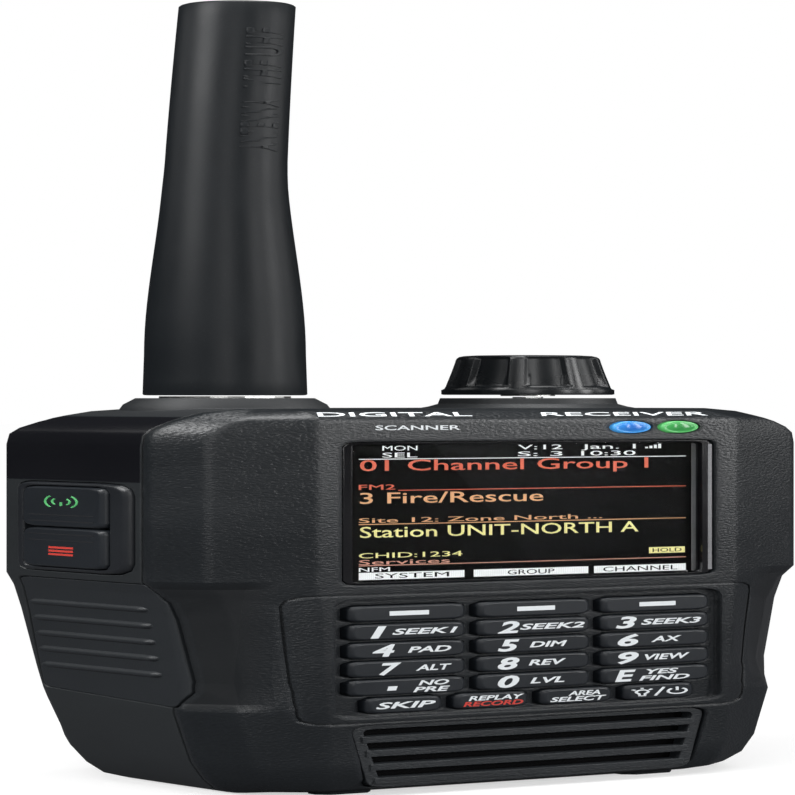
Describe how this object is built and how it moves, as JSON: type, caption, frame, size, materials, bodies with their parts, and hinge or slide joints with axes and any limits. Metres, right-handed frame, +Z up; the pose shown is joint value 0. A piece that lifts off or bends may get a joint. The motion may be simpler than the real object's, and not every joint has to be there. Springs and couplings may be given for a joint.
{
  "type": "handheld radio scanner",
  "caption": "Handheld radio scanner with a colour display, a numeric key field, a push-turn knob, a screw-on whip antenna and a latched battery door.",
  "frame": {"origin": "on the ground under the feet, centred on the case in x and y", "axes": "+Z up along the antenna, the display faces -Y, +X is to the right seen from the display side"},
  "size_m": [0.065, 0.036, 0.2562],
  "materials": {
    "grained_plastic": "fine leather-like grain, matte",
    "smooth_plastic": "smooth satin moulding",
    "satin_plastic": "satin",
    "gloss_plastic": "polished black",
    "grip_rubber": "soft-touch rubber",
    "key_rubber": "moulded rubber with white and red printing",
    "antenna_sleeve": "satin rubber sleeve",
    "window_glass": "clear polished window",
    "lcd": "colour display",
    "plated_metal": "nickel plated",
    "contact_brass": "plated brass",
    "circuit_board": "green solder mask",
    "speaker_cloth": "black cloth",
    "blue_lens": "tinted clear lens",
    "green_lens": "tinted clear lens"
  },
  "bodies": {
    "housing": {"front_housing": "grained_plastic", "speaker_grille": "grained_plastic", "rear_housing": "smooth_plastic", "battery_pack": "smooth_plastic", "side_key_bezel": "satin_plastic", "battery_tray": "satin_plastic", "earphone_jack": "satin_plastic", "display_bezel": "gloss_plastic", "left_grip": "grip_rubber", "right_grip": "grip_rubber", "housing_seal": "grip_rubber", "keypad_mat": "grip_rubber", "display_window": "window_glass", "lcd_panel": "lcd", "antenna_socket": "plated_metal", "encoder_body": "plated_metal", "speaker_frame": "plated_metal", "rf_shield": "plated_metal", "usb_socket": "plated_metal", "case_screw_1": "plated_metal", "case_screw_2": "plated_metal", "case_screw_3": "plated_metal", "case_screw_4": "plated_metal", "battery_contact_1": "contact_brass", "battery_contact_2": "contact_brass", "main_board": "circuit_board", "rf_board": "circuit_board", "speaker_cloth": "speaker_cloth", "speaker_cone": "speaker_cloth", "led_lens_blue": "blue_lens", "led_lens_green": "green_lens"},
    "key_soft_left": {"key_soft_left": "key_rubber"},
    "key_soft_middle": {"key_soft_middle": "key_rubber"},
    "key_soft_right": {"key_soft_right": "key_rubber"},
    "key_1": {"key_1": "key_rubber"},
    "key_2": {"key_2": "key_rubber"},
    "key_3": {"key_3": "key_rubber"},
    "key_4": {"key_4": "key_rubber"},
    "key_5": {"key_5": "key_rubber"},
    "key_6": {"key_6": "key_rubber"},
    "key_7": {"key_7": "key_rubber"},
    "key_8": {"key_8": "key_rubber"},
    "key_9": {"key_9": "key_rubber"},
    "key_dot": {"key_dot": "key_rubber"},
    "key_0": {"key_0": "key_rubber"},
    "key_enter": {"key_enter": "key_rubber"},
    "key_skip": {"key_skip": "key_rubber"},
    "key_replay": {"key_replay": "key_rubber"},
    "key_area": {"key_area": "key_rubber"},
    "key_power": {"key_power": "key_rubber"},
    "side_key_upper": {"side_key_upper": "key_rubber"},
    "side_key_lower": {"side_key_lower": "key_rubber"},
    "encoder_push": {"encoder_plunger": "plated_metal"},
    "control_knob": {"volume_knob": "satin_plastic", "encoder_shaft": "plated_metal"},
    "antenna_plug": {"antenna_connector": "plated_metal"},
    "antenna": {"antenna_whip": "antenna_sleeve"},
    "battery_door": {"battery_lid": "smooth_plastic"},
    "door_latch": {"battery_latch": "satin_plastic"},
    "port_flap": {"port_cover": "grip_rubber"}
  },
  "joints": [
    {"name": "press_key_soft_left", "type": "slide", "parent": "housing", "child": "key_soft_left", "axis": [0, 1, 0], "range_m": [0, 0.0005], "stiffness_N_per_m": 400, "springref_m": -0.002},
    {"name": "press_key_soft_middle", "type": "slide", "parent": "housing", "child": "key_soft_middle", "axis": [0, 1, 0], "range_m": [0, 0.0005], "stiffness_N_per_m": 400, "springref_m": -0.002},
    {"name": "press_key_soft_right", "type": "slide", "parent": "housing", "child": "key_soft_right", "axis": [0, 1, 0], "range_m": [0, 0.0005], "stiffness_N_per_m": 400, "springref_m": -0.002},
    {"name": "press_key_1", "type": "slide", "parent": "housing", "child": "key_1", "axis": [0, 1, 0], "range_m": [0, 0.0005], "stiffness_N_per_m": 400, "springref_m": -0.002},
    {"name": "press_key_2", "type": "slide", "parent": "housing", "child": "key_2", "axis": [0, 1, 0], "range_m": [0, 0.0005], "stiffness_N_per_m": 400, "springref_m": -0.002},
    {"name": "press_key_3", "type": "slide", "parent": "housing", "child": "key_3", "axis": [0, 1, 0], "range_m": [0, 0.0005], "stiffness_N_per_m": 400, "springref_m": -0.002},
    {"name": "press_key_4", "type": "slide", "parent": "housing", "child": "key_4", "axis": [0, 1, 0], "range_m": [0, 0.0005], "stiffness_N_per_m": 400, "springref_m": -0.002},
    {"name": "press_key_5", "type": "slide", "parent": "housing", "child": "key_5", "axis": [0, 1, 0], "range_m": [0, 0.0005], "stiffness_N_per_m": 400, "springref_m": -0.002},
    {"name": "press_key_6", "type": "slide", "parent": "housing", "child": "key_6", "axis": [0, 1, 0], "range_m": [0, 0.0005], "stiffness_N_per_m": 400, "springref_m": -0.002},
    {"name": "press_key_7", "type": "slide", "parent": "housing", "child": "key_7", "axis": [0, 1, 0], "range_m": [0, 0.0005], "stiffness_N_per_m": 400, "springref_m": -0.002},
    {"name": "press_key_8", "type": "slide", "parent": "housing", "child": "key_8", "axis": [0, 1, 0], "range_m": [0, 0.0005], "stiffness_N_per_m": 400, "springref_m": -0.002},
    {"name": "press_key_9", "type": "slide", "parent": "housing", "child": "key_9", "axis": [0, 1, 0], "range_m": [0, 0.0005], "stiffness_N_per_m": 400, "springref_m": -0.002},
    {"name": "press_key_dot", "type": "slide", "parent": "housing", "child": "key_dot", "axis": [0, 1, 0], "range_m": [0, 0.0005], "stiffness_N_per_m": 400, "springref_m": -0.002},
    {"name": "press_key_0", "type": "slide", "parent": "housing", "child": "key_0", "axis": [0, 1, 0], "range_m": [0, 0.0005], "stiffness_N_per_m": 400, "springref_m": -0.002},
    {"name": "press_key_enter", "type": "slide", "parent": "housing", "child": "key_enter", "axis": [0, 1, 0], "range_m": [0, 0.0005], "stiffness_N_per_m": 400, "springref_m": -0.002},
    {"name": "press_key_skip", "type": "slide", "parent": "housing", "child": "key_skip", "axis": [0, 1, 0], "range_m": [0, 0.0005], "stiffness_N_per_m": 400, "springref_m": -0.002},
    {"name": "press_key_replay", "type": "slide", "parent": "housing", "child": "key_replay", "axis": [0, 1, 0], "range_m": [0, 0.0005], "stiffness_N_per_m": 400, "springref_m": -0.002},
    {"name": "press_key_area", "type": "slide", "parent": "housing", "child": "key_area", "axis": [0, 1, 0], "range_m": [0, 0.0005], "stiffness_N_per_m": 400, "springref_m": -0.002},
    {"name": "press_key_power", "type": "slide", "parent": "housing", "child": "key_power", "axis": [0, 1, 0], "range_m": [0, 0.0005], "stiffness_N_per_m": 400, "springref_m": -0.002},
    {"name": "press_side_key_upper", "type": "slide", "parent": "housing", "child": "side_key_upper", "axis": [1, 0, 0], "range_m": [0, 0.0005], "stiffness_N_per_m": 400, "springref_m": -0.002},
    {"name": "press_side_key_lower", "type": "slide", "parent": "housing", "child": "side_key_lower", "axis": [1, 0, 0], "range_m": [0, 0.0005], "stiffness_N_per_m": 400, "springref_m": -0.002},
    {"name": "knob_press", "type": "slide", "parent": "housing", "child": "encoder_push", "axis": [0, 0, -1], "range_m": [0, 0.0006], "stiffness_N_per_m": 800, "springref_m": -0.002},
    {"name": "knob_turn", "type": "hinge", "parent": "encoder_push", "child": "control_knob", "pos_m": [0.0129, 0.001, 0.1312], "axis": [0, 0, 1], "continuous": true},
    {"name": "antenna_lift", "type": "slide", "parent": "housing", "child": "antenna_plug", "axis": [0, 0, 1], "range_m": [0, 0.0036]},
    {"name": "antenna_turn", "type": "hinge", "parent": "antenna_plug", "child": "antenna", "pos_m": [-0.0173, 0.001, 0.1272], "axis": [0, 0, 1], "range_deg": [0, 1800]},
    {"name": "battery_door_swing", "type": "hinge", "parent": "housing", "child": "battery_door", "pos_m": [0, 0.018, 0.0942], "axis": [1, 0, 0], "range_deg": [0, 60]},
    {"name": "door_latch_slide", "type": "slide", "parent": "battery_door", "child": "door_latch", "axis": [0, 0, 1], "range_m": [0, 0.0022], "stiffness_N_per_m": 200, "springref_m": -0.002},
    {"name": "port_flap_swing", "type": "hinge", "parent": "housing", "child": "port_flap", "pos_m": [0.0323, 0.0066, 0.0842], "axis": [0, 0, 1], "range_deg": [0, 110]}
  ],
  "couplings": [
    {"joint": "antenna_lift", "follows": "antenna_turn", "m_per_rad": 0.00011141}
  ]
}
